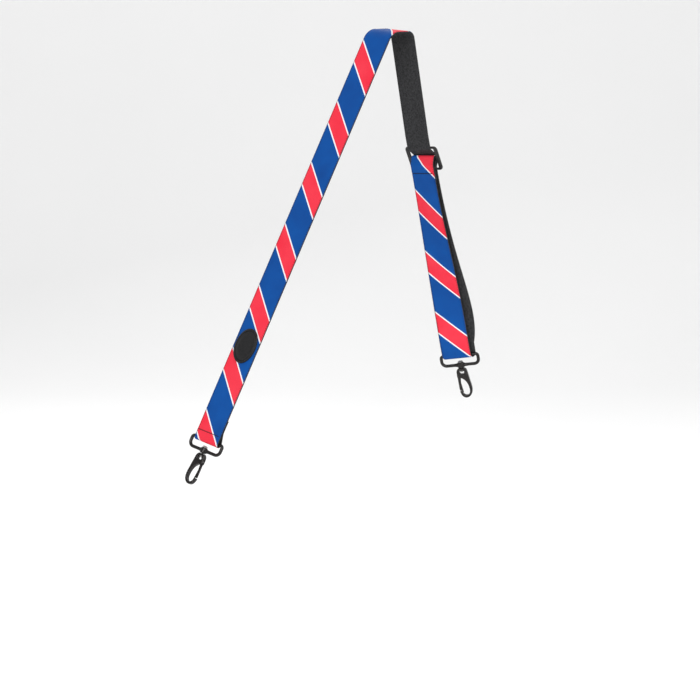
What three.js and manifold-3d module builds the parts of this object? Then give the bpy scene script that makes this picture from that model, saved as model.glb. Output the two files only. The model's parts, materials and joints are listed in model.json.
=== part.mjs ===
// Shoulder strap for an instrument case, hung in an inverted V from the shoulder that carries it.
// A printed ribbon is sewn on black webbing. The left end is sewn round a swivel snap hook. The right leg
// passes through a three-bar slider, round the second hook's bar, and back up to the slider's middle bar,
// where it is sewn. Millimetres, +Z up, +X from the left hook to the right hook, -Y to the front.
// The origin is under the webbing at the middle of the shoulder bend.
import * as THREE from "three";
import { mergeVertices } from "three/addons/utils/BufferGeometryUtils.js";
import Module from "manifold-3d";

const wasm = await Module();
wasm.setup();

const rad = THREE.MathUtils.degToRad;

// Strap
const GAP = 0.3; // between pieces that touch
const STRAP_WIDTH = 38;
const WEB_THICK = 1.2;
const RIBBON_WIDTH = 36.4;
const RIBBON_THICK = 0.3;
const LEFT_LEAN = rad(26.6);
const RIGHT_LEAN = rad(10.2);
const LOWER_LEAN = rad(12); // of the right leg from the slider down
const RIGHT_TURN = rad(6); // of the right leg about itself, away from the front
const SHOULDER_YAW = rad(24); // the shoulder's axis, turned from -Y towards +X
const LEFT_BEND = 18; // radius where the left leg comes over the shoulder
const TOP_FLAT = 19.5;
const RIGHT_BEND = 10;
const LEFT_LEG = 526; // from the left bend to the left hook's bar
const UPPER_LEG = 153.5; // from the right bend to the slider's middle bar
const STUB = 10; // of the right leg that belongs to the shoulder bend
const LOWER_LEG = 259.5; // from the slider's middle bar to the right hook's bar
const LOWER_TWIST = rad(28);
const FOLD_TAIL = 30; // the sewn-back end beyond a bar
const RETURN_BOW = 6; // sideways bow of the back ply above the right hook
const RETURN_SKEW = 2.6; // sideways step of each ply at the right hook's bar

// Slider
const SLIDER_WIDTH = 52;
const SLIDER_SLOT = 41;
const SLIDER_THICK = 2.6;
const BAR_PITCH = 14.5; // from the middle bar to each outer bar
const OUTER_BAR = 3;
const MIDDLE_BAR = 2.6;
const OUTER_BAR_RADIUS = 1.7; // round its corners
const MIDDLE_BAR_RADIUS = 1.5;
const SLIDER_TILT = rad(11);
const SLIDER_HALF = 30; // of the strap, each side of the middle bar, that stays with the slider

// Hooks
const LOOP_INNER_HALF = 22;
const LOOP_WIRE = 4.2;
const LOOP_BARS = 13; // from the strap's bar to the lower bar
const BOSS_RADIUS = 4;
const BOSS_HEIGHT = 7.6;
const POST_RADIUS = 1.5;
const POST_HEAD_RADIUS = 3.2;
const POST_HEAD = 1.6;
const FOOT_RADIUS = 2.4;
const FOOT = 1.6;
const HOOK_THICK = 6;
const HOOK_CROWN = 3; // solid height above the window
const CLAW_DEPTH = 36.2; // from the top of the hook to its seat
const WINDOW_HALF = 3;
const WINDOW_HEIGHT = 4.4;
const GATE_THICK = 1.5;
const GATE_SLOT = 3;
const GATE_PIVOT = new THREE.Vector2(-4.8, 9.4); // sideways, down
const PIN_RADIUS = 1;
const SPRING_OUTER = 2.1;
const SPRING_INNER = 1.35;
const SPRING_HEIGHT = 0.6;

// Patch
const PATCH_HALF_LENGTH = 22;
const PATCH_HALF_WIDTH = 15.5;
const PATCH_THICK = 2.2;
const PATCH_UP = 122; // above the left hook's bar
const STITCH_LENGTH = 34;
const STITCH_UP = 9; // above the left hook's bar
const END_STITCH_DOWN = 18; // below the slider's middle bar

const HALF_WEB = WEB_THICK / 2;
const RIBBON_INNER = HALF_WEB + GAP; // from the webbing's middle to the ribbon's faces
const RIBBON_OUTER = RIBBON_INNER + RIBBON_THICK;
const FOLD = LOOP_WIRE / 2 + 0.4 + HALF_WEB; // the webbing's middle round a hook's bar

const material = (color, roughness, metalness = 0) =>
  new THREE.MeshStandardMaterial({ color, roughness, metalness });
const WEBBING = material(0x26262a, 0.85);
const RIBBON = material(0x1550b4, 0.5);
const METAL = material(0x2b2a28, 0.35, 0.8);
const PLASTIC = material(0x1c1c1c, 0.45);
const RUBBER = material(0x1a1a1c, 0.55);
const THREAD = material(0x141416, 0.8);
const STEEL = material(0x8a8a88, 0.3, 1);

const group = new THREE.Group();

function addMesh(name, geometry, skin, parent = group) {
  const mesh = new THREE.Mesh(geometry, skin.clone());
  mesh.name = name;
  parent.add(mesh);
  return mesh;
}

// Joining and cutting -------------------------------------------------------------------------------

function toSolid(geometry) {
  const bare = geometry.clone();
  bare.deleteAttribute("normal");
  bare.deleteAttribute("uv");
  const merged = mergeVertices(bare, 1e-4);
  return new wasm.Manifold(
    new wasm.Mesh({
      numProp: 3,
      vertProperties: new Float32Array(merged.attributes.position.array),
      triVerts: new Uint32Array(merged.index.array),
    }),
  );
}

function toGeometry(solid) {
  const mesh = solid.getMesh();
  const geometry = new THREE.BufferGeometry();
  geometry.setAttribute("position", new THREE.BufferAttribute(mesh.vertProperties, 3));
  geometry.setIndex(new THREE.BufferAttribute(mesh.triVerts, 1));
  return geometry;
}

// A plate with rounded edges, of an outline in its own plane, centred on that plane.
function plate(outline, thickness, edge) {
  const geometry = new THREE.ExtrudeGeometry(outline, {
    depth: thickness - 2 * edge,
    bevelEnabled: edge > 0,
    bevelThickness: edge,
    bevelSize: edge,
    bevelOffset: -edge,
    bevelSegments: 2,
    curveSegments: 6,
  });
  return geometry.translate(0, 0, edge - thickness / 2);
}

function roundedRectangle(path, left, right, low, high, lowRadius, highRadius) {
  path.moveTo(left + lowRadius, low);
  path.lineTo(right - lowRadius, low);
  path.absarc(right - lowRadius, low + lowRadius, lowRadius, -Math.PI / 2, 0);
  path.absarc(right - highRadius, high - highRadius, highRadius, 0, Math.PI / 2);
  path.absarc(left + highRadius, high - highRadius, highRadius, Math.PI / 2, Math.PI);
  path.absarc(left + lowRadius, low + lowRadius, lowRadius, Math.PI, 1.5 * Math.PI);
  return path;
}

// Strap runs ----------------------------------------------------------------------------------------
// A station is a point on the webbing's middle, the way along the strap and the way across it. The
// ribbon is on the side facing -(along x across).

const station = (point, along, across) => ({ point, along, across });

class StrapRun extends THREE.Curve {
  constructor(stations) {
    super();
    this.stations = stations;
  }
  getPoint(t, target = new THREE.Vector3()) {
    return target.copy(this.stations[Math.round(t * (this.stations.length - 1))].point);
  }
  getSpacedPoints() {
    return this.stations.map((s) => s.point.clone());
  }
  computeFrenetFrames() {
    return {
      tangents: this.stations.map((s) => s.along),
      normals: this.stations.map((s) => s.across),
      binormals: this.stations.map((s) => s.along.clone().cross(s.across).normalize()),
    };
  }
}

function strapLayer(stations, width, low, high) {
  const section = new THREE.Shape();
  section.moveTo(-width / 2, low);
  section.lineTo(width / 2, low);
  section.lineTo(width / 2, high);
  section.lineTo(-width / 2, high);
  return new THREE.ExtrudeGeometry(section, {
    steps: stations.length - 1,
    extrudePath: new StrapRun(stations),
    bevelEnabled: false,
  });
}

// The webbing and the ribbon of one stretch.
function addStrap(name, stations) {
  addMesh("webbing_" + name, strapLayer(stations, STRAP_WIDTH, -HALF_WEB, HALF_WEB), WEBBING);
  addMesh("ribbon_" + name, strapLayer(stations, RIBBON_WIDTH, -RIBBON_OUTER, -RIBBON_INNER), RIBBON);
}

// A line through corners in a plane, each corner rounded to its radius: a list of u, v and their slopes.
function roundedLine(corners) {
  const STEP = rad(20);
  const points = corners.map(([u, v]) => new THREE.Vector2(u, v));
  const heading = (i) => points[i + 1].clone().sub(points[i]).normalize();
  const out = [{ at: points[0], way: heading(0) }];
  for (let i = 1; i < points.length - 1; i++) {
    const into = heading(i - 1);
    const away = heading(i);
    const turn = Math.atan2(into.cross(away), into.dot(away));
    const radius = corners[i][2];
    const start = points[i].clone().addScaledVector(into, -radius * Math.tan(Math.abs(turn) / 2));
    const side = radius * Math.sign(turn);
    const centre = start.clone().add(new THREE.Vector2(-into.y, into.x).multiplyScalar(side));
    const steps = Math.max(2, Math.ceil(Math.abs(turn) / STEP));
    for (let k = 0; k <= steps; k++) {
      const way = into.clone().rotateAround(new THREE.Vector2(), (turn * k) / steps);
      const at = centre.clone().sub(new THREE.Vector2(-way.y, way.x).multiplyScalar(side));
      out.push({ at, way });
    }
  }
  out.push({ at: points.at(-1), way: heading(points.length - 2) });
  return out;
}

// A frame is a point with three ways: along the leg (u), out of its face (v) and across it (w).
const frameAt = (origin, along, across) => ({
  origin,
  along,
  across,
  face: along.clone().cross(across).normalize(),
});

const placeIn = (frame, u, v, w = 0) =>
  frame.origin
    .clone()
    .addScaledVector(frame.along, u)
    .addScaledVector(frame.face, v)
    .addScaledVector(frame.across, w);

const runIn = (frame, corners) =>
  roundedLine(corners).map(({ at, way }) => {
    const along = frame.along.clone().multiplyScalar(way.x).addScaledVector(frame.face, way.y);
    return station(placeIn(frame, at.x, at.y), along, frame.across);
  });

// The legs' ways, and the shoulder's axis, tilted so that both legs leave it at the same angle.
const leftWay = new THREE.Vector3(Math.sin(LEFT_LEAN), 0, Math.cos(LEFT_LEAN));
const rightWay = new THREE.Vector3(Math.sin(RIGHT_LEAN), 0, -Math.cos(RIGHT_LEAN));
const lowerWay = new THREE.Vector3(Math.sin(LOWER_LEAN), 0, -Math.cos(LOWER_LEAN));
const axisRise =
  (Math.sin(LEFT_LEAN) - Math.sin(RIGHT_LEAN)) / (Math.cos(LEFT_LEAN) + Math.cos(RIGHT_LEAN));
const shoulderAxis = new THREE.Vector3(
  Math.sin(SHOULDER_YAW),
  -Math.cos(SHOULDER_YAW),
  -Math.sin(SHOULDER_YAW) * axisRise,
).normalize();
const acrossLeg = (way) =>
  shoulderAxis.clone().addScaledVector(way, -shoulderAxis.dot(way)).normalize();

// The shoulder bend: the left leg's way turned about the shoulder's axis into the right leg's.
const turnAxis = shoulderAxis.clone().negate();
const leftAcross = acrossLeg(leftWay);
const squareWay = leftWay.clone().addScaledVector(turnAxis, -leftWay.dot(turnAxis));
const squareRight = rightWay.clone().addScaledVector(turnAxis, -rightWay.dot(turnAxis));
const wholeTurn = squareWay.angleTo(squareRight);
const turned = (vector, angle) => vector.clone().applyAxisAngle(turnAxis, angle);
const levelTurn = Math.atan2(leftWay.z, -turned(squareWay, Math.PI / 2).z);

function shoulderBend() {
  const ARC_STEP = rad(10);
  const stations = [];
  const at = new THREE.Vector3();
  const arc = (from, to, radius, twist) => {
    const steps = Math.ceil((to - from) / ARC_STEP);
    const step = (to - from) / steps;
    const reach = (2 * radius * Math.sin(step / 2)) / squareWay.length();
    for (let k = 0; k <= steps; k++) {
      const angle = from + step * k;
      if (k > 0) at.addScaledVector(turned(leftWay, angle - step / 2), reach);
      const along = turned(leftWay, angle);
      const across = turned(leftAcross, angle).applyAxisAngle(along, (twist * k) / steps);
      stations.push(station(at.clone(), along, across));
    }
  };
  arc(0, levelTurn, LEFT_BEND, 0);
  const middle = at.clone().addScaledVector(turned(leftWay, levelTurn), TOP_FLAT / 2);
  at.addScaledVector(turned(leftWay, levelTurn), TOP_FLAT);
  arc(levelTurn, wholeTurn, RIGHT_BEND, RIGHT_TURN);
  const shift = new THREE.Vector3(0, 0, HALF_WEB).sub(middle);
  stations.forEach((s) => s.point.add(shift));
  return stations;
}

const bend = shoulderBend();
const leftTop = bend[0].point;
const rightTop = bend.at(-1).point;

// The left leg runs up its own frame, whose face points away from the printed side.
const leftBar = leftTop
  .clone()
  .addScaledVector(leftWay, -LEFT_LEG)
  .addScaledVector(leftWay.clone().cross(leftAcross), FOLD);
const leftFrame = frameAt(leftBar, leftWay, leftAcross);
const tailDepth = FOLD - WEB_THICK - GAP; // of a sewn-back end behind its bar's front
const leftRun = runIn(leftFrame, [
  [FOLD_TAIL, -tailDepth],
  [14, -tailDepth, 10],
  [2, FOLD, 6],
  [-FOLD, FOLD, FOLD],
  [-FOLD, -FOLD, FOLD],
  [LEFT_LEG, -FOLD],
]);

const rightAcross = acrossLeg(rightWay).applyAxisAngle(rightWay, RIGHT_TURN);
const stubEnd = placeIn(frameAt(rightTop, rightWay, rightAcross), STUB, 0);
addStrap("left_leg", [
  ...leftRun.slice(0, -1),
  ...bend,
  station(stubEnd, rightWay, rightAcross),
]);

// The slider's bars, in the right leg's frame: u down the leg, v out of its black face.
const webPast = (radius) => radius + GAP + HALF_WEB;
const ribbonPast = (radius) => radius + GAP + RIBBON_OUTER;
const endFold = webPast(MIDDLE_BAR_RADIUS);
const roundOuter = ribbonPast(OUTER_BAR_RADIUS);
const roundMiddle = webPast(endFold + RIBBON_OUTER);
const outerBar = new THREE.Vector2(Math.cos(SLIDER_TILT), -Math.sin(SLIDER_TILT)).multiplyScalar(
  BAR_PITCH,
);
const upperPly = roundOuter - outerBar.y;
const lowerPly = outerBar.y + roundOuter;
const slider = placeIn(frameAt(rightTop, rightWay, rightAcross), UPPER_LEG, -upperPly);
const lowerAcross = rightAcross
  .clone()
  .addScaledVector(lowerWay, -rightAcross.dot(lowerWay))
  .normalize();
const rightFrame = frameAt(slider, lowerWay, lowerAcross);

// The ply that dives from the front of the upper bar to the back of the middle one touches both.
const dive = SLIDER_TILT + Math.asin((roundOuter + roundMiddle) / BAR_PITCH);
const divePoint = new THREE.Vector2(Math.sin(dive), Math.cos(dive)).multiplyScalar(-roundMiddle);
const diveAt = (v) => divePoint.x - (v - divePoint.y) / Math.tan(dive);

addStrap("upper_leg", [
  station(placeIn(frameAt(stubEnd, rightWay, rightAcross), GAP, 0), rightWay, rightAcross),
  station(
    placeIn(frameAt(slider, rightWay, rightAcross), -SLIDER_HALF - GAP, upperPly),
    rightWay,
    rightAcross,
  ),
]);
addStrap(
  "slider_pass",
  runIn(rightFrame, [
    [-SLIDER_HALF, upperPly],
    [diveAt(upperPly), upperPly, roundOuter],
    [diveAt(-roundMiddle), -roundMiddle, roundMiddle],
    [2.5, -roundMiddle, 5],
    [10.5, lowerPly, 6],
    [SLIDER_HALF, lowerPly],
  ]),
);

// The end folds round the middle bar, and its front ply leaves the bar towards the upper leg's line.
const frontPly = upperPly;
const LEAVE = 7; // down from the middle bar
const leaveSlope = Math.atan2(frontPly, LEAVE) - Math.asin(endFold / Math.hypot(frontPly, LEAVE));
const foldCorner = frontPly - (LEAVE + endFold) * Math.tan(leaveSlope);
const endTail = frontPly - WEB_THICK - GAP;
addStrap(
  "sewn_end",
  runIn(rightFrame, [
    [SLIDER_HALF, frontPly],
    [LEAVE, frontPly, 8],
    [-endFold, foldCorner, endFold],
    [-endFold, -endFold, endFold],
    [1.2, -endFold, 3],
    [13, endTail, 8],
    [SLIDER_HALF - 3, endTail],
  ]),
);

// Below the slider both plies twist, so that the right hook faces more to the front.
const FOLD_REACH = 14; // of each ply above the right hook's bar that belongs to the fold
const pliesFrom = SLIDER_HALF + GAP;
const pliesTo = LOWER_LEG - FOLD_REACH - GAP;
const ease = (q) => q * q * (3 - 2 * q);
const blend = (from, to, q) => from + (to - from) * q;

function twistedFrame(q) {
  const angle = -LOWER_TWIST * ease(THREE.MathUtils.clamp(q, 0, 1));
  return frameAt(slider, lowerWay, lowerAcross.clone().applyAxisAngle(lowerWay, angle));
}

function plyStations(depthFrom, depthTo, bow, skew, count) {
  const placed = (q) => {
    const sideways = skew * q + bow * 12.2 * q ** 4 * (1 - q);
    return placeIn(
      twistedFrame(q),
      blend(pliesFrom, pliesTo, q),
      blend(depthFrom, depthTo, ease(q)),
      sideways,
    );
  };
  return Array.from({ length: count + 1 }, (_, i) => {
    const q = i / count;
    const along = placed(q + 0.005).sub(placed(q - 0.005)).normalize();
    return station(placed(q), along, twistedFrame(q).across);
  });
}

const reversed = (stations) =>
  stations.map((s) => station(s.point, s.along.clone().negate(), s.across)).reverse();

addStrap("back_ply", plyStations(lowerPly, -FOLD, RETURN_BOW, RETURN_SKEW, 72));
addStrap("front_ply", reversed(plyStations(frontPly, FOLD, 0, -RETURN_SKEW, 72)));

const hookFrame = { ...twistedFrame(1), origin: placeIn(twistedFrame(1), LOWER_LEG, 0) };
const hookFold = runIn(hookFrame, [
  [-FOLD_REACH, -FOLD],
  [FOLD, -FOLD, FOLD],
  [FOLD, FOLD, FOLD],
  [-FOLD_REACH, FOLD],
]);
hookFold.forEach((s, i) => {
  const sideways = blend(RETURN_SKEW, -RETURN_SKEW, i / (hookFold.length - 1));
  s.point.addScaledVector(hookFrame.across, sideways);
});
addStrap("hook_fold", hookFold);

// Stitch rows that close each fold.
function addStitchRow(name, frame, u, v) {
  const row = addMesh(name, new THREE.BoxGeometry(0.7, STITCH_LENGTH, 0.4), THREAD);
  row.matrixAutoUpdate = false;
  row.matrix.makeBasis(frame.along, frame.across, frame.face).setPosition(placeIn(frame, u, v));
}
const onRibbon = RIBBON_OUTER + GAP + 0.2;
addStitchRow("left_stitch_row", leftFrame, STITCH_UP, -FOLD - onRibbon);
addStitchRow("slider_stitch_row", rightFrame, END_STITCH_DOWN, frontPly + onRibbon);

// The oval patch on the left leg, with a raised rim.
function addPatch() {
  const profile = [
    [0, 0],
    [1, 0],
    [1, 0.55],
    [0.96, 1],
    [0.86, 1],
    [0.82, 0.6],
    [0, 0.75],
  ].map(([r, h]) => new THREE.Vector2(r, h * PATCH_THICK));
  const oval = new THREE.LatheGeometry(profile, 32);
  const seat = placeIn(leftFrame, PATCH_UP, -FOLD - RIBBON_OUTER - GAP);
  const out = leftFrame.face.clone().negate();
  const placed = new THREE.Matrix4()
    .makeBasis(leftFrame.along, out, leftFrame.along.clone().cross(out))
    .setPosition(seat);
  oval.scale(PATCH_HALF_LENGTH, 1, PATCH_HALF_WIDTH).applyMatrix4(placed);
  addMesh("oval_patch", oval, RUBBER);
}
addPatch();

// The slider: one moulding with two slots between three bars.
function addSlider() {
  const half = BAR_PITCH + OUTER_BAR / 2;
  const outline = roundedRectangle(
    new THREE.Shape(), -SLIDER_WIDTH / 2, SLIDER_WIDTH / 2, -half, half, 5, 5,
  );
  for (const side of [-1, 1]) {
    const near = (side * MIDDLE_BAR) / 2;
    const far = side * (BAR_PITCH - OUTER_BAR / 2);
    outline.holes.push(
      roundedRectangle(
        new THREE.Path(), -SLIDER_SLOT / 2, SLIDER_SLOT / 2,
        Math.min(near, far), Math.max(near, far), 1.2, 1.2,
      ),
    );
  }
  const down = rightFrame.along
    .clone()
    .multiplyScalar(Math.cos(SLIDER_TILT))
    .addScaledVector(rightFrame.face, -Math.sin(SLIDER_TILT));
  const across = rightFrame.across;
  const placed = new THREE.Matrix4()
    .makeBasis(across, down, across.clone().cross(down))
    .setPosition(slider);
  addMesh("slider", plate(outline, SLIDER_THICK, 0.6).applyMatrix4(placed), PLASTIC);
}
addSlider();

// Swivel snap hooks ---------------------------------------------------------------------------------
// Each is made in its own frame: X across the strap towards the spine, Y down, Z = X x Y, with the origin
// at the middle of the strap's bar. The hook itself starts HOOK_TOP below it.
const HOOK_TOP = LOOP_BARS + BOSS_HEIGHT / 2 + GAP;

function swivelAxisCylinder(radius, from, to, sides = 16) {
  return new THREE.CylinderGeometry(radius, radius, to - from, sides).translate(0, (from + to) / 2, 0);
}

function loopSolid() {
  const outer = LOOP_INNER_HALF + LOOP_WIRE;
  const top = -LOOP_WIRE / 2;
  const bottom = LOOP_BARS + LOOP_WIRE / 2;
  const outline = roundedRectangle(new THREE.Shape(), -outer, outer, top, bottom, 5.5, 8);
  outline.holes.push(
    roundedRectangle(
      new THREE.Path(), -LOOP_INNER_HALF, LOOP_INNER_HALF,
      top + LOOP_WIRE, bottom - LOOP_WIRE, 1.5, 4,
    ),
  );
  const half = BOSS_HEIGHT / 2;
  const bore = swivelAxisCylinder(POST_RADIUS + GAP, LOOP_BARS - half - 1, LOOP_BARS + half + 1);
  return toSolid(plate(outline, LOOP_WIRE, 1.3))
    .add(toSolid(swivelAxisCylinder(BOSS_RADIUS, LOOP_BARS - half, LOOP_BARS + half, 20)))
    .subtract(toSolid(bore));
}

// The post that joins loop and hook: a head above the loop's boss and a foot inside the hook's window.
function postGeometry() {
  const head = LOOP_BARS - BOSS_HEIGHT / 2 - GAP;
  const foot = HOOK_TOP + HOOK_CROWN + GAP;
  const profile = [
    [0, foot + FOOT],
    [FOOT_RADIUS * 0.7, foot + FOOT],
    [FOOT_RADIUS, foot + FOOT * 0.6],
    [FOOT_RADIUS, foot],
    [POST_RADIUS, foot],
    [POST_RADIUS, head],
    [POST_HEAD_RADIUS, head],
    [POST_HEAD_RADIUS, head - POST_HEAD * 0.5],
    [POST_HEAD_RADIUS * 0.6, head - POST_HEAD],
    [0, head - POST_HEAD],
  ].map(([r, y]) => new THREE.Vector2(r, y));
  return new THREE.LatheGeometry(profile.reverse(), 16);
}

function hookOutline() {
  const s = new THREE.Shape();
  s.moveTo(-3.4, 0);
  s.lineTo(3.4, 0);
  s.quadraticCurveTo(6.2, 1, 6.8, 5);
  s.lineTo(9, 21.5); // down the spine
  s.quadraticCurveTo(10.8, 31.5, 7.6, 36);
  s.quadraticCurveTo(4.8, 39.8, 0.8, 39.8);
  s.quadraticCurveTo(-5, 39.4, -6.6, 30.6); // up to the nose
  s.lineTo(-4.1, 30.2);
  s.quadraticCurveTo(-3.3, 35.4, 0, CLAW_DEPTH); // the claw's inside
  s.lineTo(3, CLAW_DEPTH);
  s.quadraticCurveTo(6.8, 34.4, 6.5, 28.4);
  s.quadraticCurveTo(5.8, 17.4, -1.6, 13.4);
  s.lineTo(-7, 12.4);
  s.lineTo(-7, 6);
  s.quadraticCurveTo(-6.6, 1, -3.4, 0);
  return s;
}

function hookSolid() {
  const windowTop = HOOK_CROWN;
  const half = GATE_SLOT / 2;
  const window = new THREE.BoxGeometry(2 * WINDOW_HALF, WINDOW_HEIGHT, HOOK_THICK + 2).translate(
    0, windowTop + WINDOW_HEIGHT / 2, 0,
  );
  const slot = new THREE.BoxGeometry(8, 8, 2 * half).translate(-6, 10.9, 0);
  const pinHole = new THREE.CylinderGeometry(PIN_RADIUS + GAP, PIN_RADIUS + GAP, HOOK_THICK + 2, 12)
    .rotateX(Math.PI / 2)
    .translate(GATE_PIVOT.x, GATE_PIVOT.y, 0);
  return toSolid(plate(hookOutline(), HOOK_THICK, 1))
    .subtract(toSolid(window))
    .subtract(toSolid(swivelAxisCylinder(POST_RADIUS + GAP, -1, windowTop + 1)))
    .subtract(toSolid(slot))
    .subtract(toSolid(pinHole));
}

function gateGeometry() {
  const s = new THREE.Shape();
  s.absarc(GATE_PIVOT.x, GATE_PIVOT.y, 2.1, 0, Math.PI, true);
  s.lineTo(-6.9, 21);
  s.lineTo(-6.8, 29.7);
  s.lineTo(-3.6, 29.7);
  s.lineTo(-3.4, 32.6);
  s.lineTo(-2, 32.1);
  s.lineTo(-2.7, 27.4);
  s.lineTo(-3.6, 20);
  const hole = new THREE.CylinderGeometry(PIN_RADIUS + GAP, PIN_RADIUS + GAP, 4, 12)
    .rotateX(Math.PI / 2)
    .translate(GATE_PIVOT.x, GATE_PIVOT.y, 0);
  const gate = toGeometry(toSolid(plate(s, GATE_THICK, 0)).subtract(toSolid(hole)));
  return gate.translate(0, 0, GAP + (GATE_THICK - GATE_SLOT) / 2);
}

function springGeometry() {
  const top = GATE_SLOT / 2 - GAP;
  const profile = [
    [SPRING_INNER, top - SPRING_HEIGHT],
    [SPRING_OUTER, top - SPRING_HEIGHT],
    [SPRING_OUTER, top],
    [SPRING_INNER, top],
    [SPRING_INNER, top - SPRING_HEIGHT],
  ].map(([r, y]) => new THREE.Vector2(r, y));
  return new THREE.LatheGeometry(profile, 16)
    .rotateX(Math.PI / 2)
    .translate(GATE_PIVOT.x, GATE_PIVOT.y, 0);
}

function addHook(side, origin, spine, down) {
  const holder = new THREE.Group();
  holder.matrixAutoUpdate = false;
  holder.matrix.makeBasis(spine, down, spine.clone().cross(down)).setPosition(origin);
  group.add(holder);
  addMesh(side + "_loop", toGeometry(loopSolid()), METAL, holder);
  addMesh(side + "_swivel_post", postGeometry(), STEEL, holder);
  const claw = new THREE.Group();
  claw.position.y = HOOK_TOP;
  holder.add(claw);
  addMesh(side + "_hook", toGeometry(hookSolid()), METAL, claw);
  addMesh(side + "_gate", gateGeometry(), METAL, claw);
  addMesh(side + "_gate_spring", springGeometry(), STEEL, claw);
  const pin = new THREE.CylinderGeometry(PIN_RADIUS, PIN_RADIUS, HOOK_THICK - 0.4, 12)
    .rotateX(Math.PI / 2)
    .translate(GATE_PIVOT.x, GATE_PIVOT.y, 0);
  addMesh(side + "_gate_pin", pin, STEEL, claw);
}

addHook("left", leftBar, leftAcross.clone().negate(), leftWay.clone().negate());
addHook("right", hookFrame.origin, hookFrame.across, lowerWay);

export default group;
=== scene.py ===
"""Looks of the case shoulder strap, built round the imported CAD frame. Lengths are in millimetres until a mesh
is made, and MM turns them into metres. The strap's runs repeat the CAD part's driving dimensions."""
import json
import math

import bmesh
import bpy
from mathutils import Matrix, Quaternion, Vector


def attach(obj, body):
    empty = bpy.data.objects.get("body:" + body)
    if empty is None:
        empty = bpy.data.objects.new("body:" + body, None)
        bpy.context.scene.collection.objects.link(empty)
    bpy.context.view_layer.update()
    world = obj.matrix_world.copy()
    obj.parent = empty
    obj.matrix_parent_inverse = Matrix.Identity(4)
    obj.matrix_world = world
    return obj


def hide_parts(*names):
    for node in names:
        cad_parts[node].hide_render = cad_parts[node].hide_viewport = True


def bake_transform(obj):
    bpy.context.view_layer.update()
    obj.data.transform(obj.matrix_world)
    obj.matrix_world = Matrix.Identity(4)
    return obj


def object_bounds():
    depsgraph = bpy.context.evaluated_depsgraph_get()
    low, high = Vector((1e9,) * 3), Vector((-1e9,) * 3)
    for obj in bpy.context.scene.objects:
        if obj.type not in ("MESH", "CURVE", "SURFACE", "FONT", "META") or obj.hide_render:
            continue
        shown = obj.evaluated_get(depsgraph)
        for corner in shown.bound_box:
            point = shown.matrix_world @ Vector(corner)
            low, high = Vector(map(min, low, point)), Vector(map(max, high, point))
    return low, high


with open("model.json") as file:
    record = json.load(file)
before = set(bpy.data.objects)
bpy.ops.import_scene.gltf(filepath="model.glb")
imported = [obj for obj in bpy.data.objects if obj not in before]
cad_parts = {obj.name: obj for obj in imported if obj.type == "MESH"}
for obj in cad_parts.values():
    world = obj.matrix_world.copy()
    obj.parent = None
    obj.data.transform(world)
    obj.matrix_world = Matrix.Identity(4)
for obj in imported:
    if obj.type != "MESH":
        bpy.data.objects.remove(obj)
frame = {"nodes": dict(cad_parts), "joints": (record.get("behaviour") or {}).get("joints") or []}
cad_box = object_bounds()

MM = 0.001
rad = math.radians

# Strap, as in the CAD part
STRAP_WIDTH = 38.0
WEB_THICK = 1.2
RIBBON_WIDTH = 36.4
RIBBON_THICK = 0.3
GAP = 0.3
LEFT_LEAN = rad(26.6)
RIGHT_LEAN = rad(10.2)
LOWER_LEAN = rad(12)
RIGHT_TURN = rad(6)
SHOULDER_YAW = rad(24)
LEFT_BEND = 18.0
TOP_FLAT = 19.5
RIGHT_BEND = 10.0
LEFT_LEG = 526.0
UPPER_LEG = 153.5
STUB = 10.0
LOWER_LEG = 259.5
LOWER_TWIST = rad(28)
FOLD_TAIL = 30.0
RETURN_BOW = 6.0
RETURN_SKEW = 2.6
FOLD_REACH = 14.0

# Slider, as in the CAD part
SLIDER_WIDTH = 52.0
SLIDER_SLOT = 41.0
SLIDER_THICK = 2.6
BAR_PITCH = 14.5
OUTER_BAR = 3.0
MIDDLE_BAR = 2.6
OUTER_BAR_RADIUS = 1.7
MIDDLE_BAR_RADIUS = 1.5
SLIDER_TILT = rad(11)
SLIDER_HALF = 30.0
LEAVE = 7.0

# Hooks, as in the CAD part
LOOP_INNER_HALF = 22.0
LOOP_WIRE = 4.2
LOOP_BARS = 13.0
BOSS_RADIUS = 4.0
BOSS_HEIGHT = 7.6
HOOK_THICK = 6.0
HOOK_CROWN = 3.0
WINDOW_HALF = 3.0
WINDOW_HEIGHT = 4.4
CLAW_DEPTH = 36.2
GATE_THICK = 1.5
GATE_SLOT = 3.0
GATE_PIVOT = (-4.8, 9.4)
HOOK_TOP = LOOP_BARS + BOSS_HEIGHT / 2 + GAP

# Patch and sewing
PATCH_HALF_LENGTH = 22.0
PATCH_HALF_WIDTH = 15.5
PATCH_THICK = 2.2
PATCH_UP = 122.0
STITCH_LENGTH = 34.0
STITCH_UP = 9.0
END_STITCH_DOWN = 18.0
TAIL_STITCH_STEP = 4.0  # the row on the back of the left fold lies this much higher
SEAM_INSET = 0.9
SEAM_PITCH = 3.0
SEAM_STITCH = 2.2
SEAM_THREAD = 0.35
ROW_PITCH = 2.7
ROW_STITCH = 2.8
ROW_THREAD = 1.05

# Print: diagonal bands, measured along the strap plus across it
PRINT_PERIOD = 81.25
RED_HALF = 13.4
LINE_WIDTH = 2.3
MAIN_PRINT_START = 1.5
LOWER_PRINT_START = 41.5
LOWER_PRINT_STRETCH = 1.02  # the lower leg is printed a little tighter

HALF_WEB = WEB_THICK / 2
RIBBON_INNER = HALF_WEB + GAP
RIBBON_OUTER = RIBBON_INNER + RIBBON_THICK
FOLD = LOOP_WIRE / 2 + 0.4 + HALF_WEB
RIBBON_SEAT = HALF_WEB + 0.03  # where the ribbon's underside really lies


# Camera and light ------------------------------------------------------------------------------------

CAMERA_AZIMUTH = rad(-30)
CAMERA_ELEVATION = rad(10)
CAMERA_TARGET = Vector((-0.0779, -0.0330, -0.3828))
CAMERA_DISTANCE = 3.0
CAMERA_LENS = 126.5
FLOOR_DROP = 0.3


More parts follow.
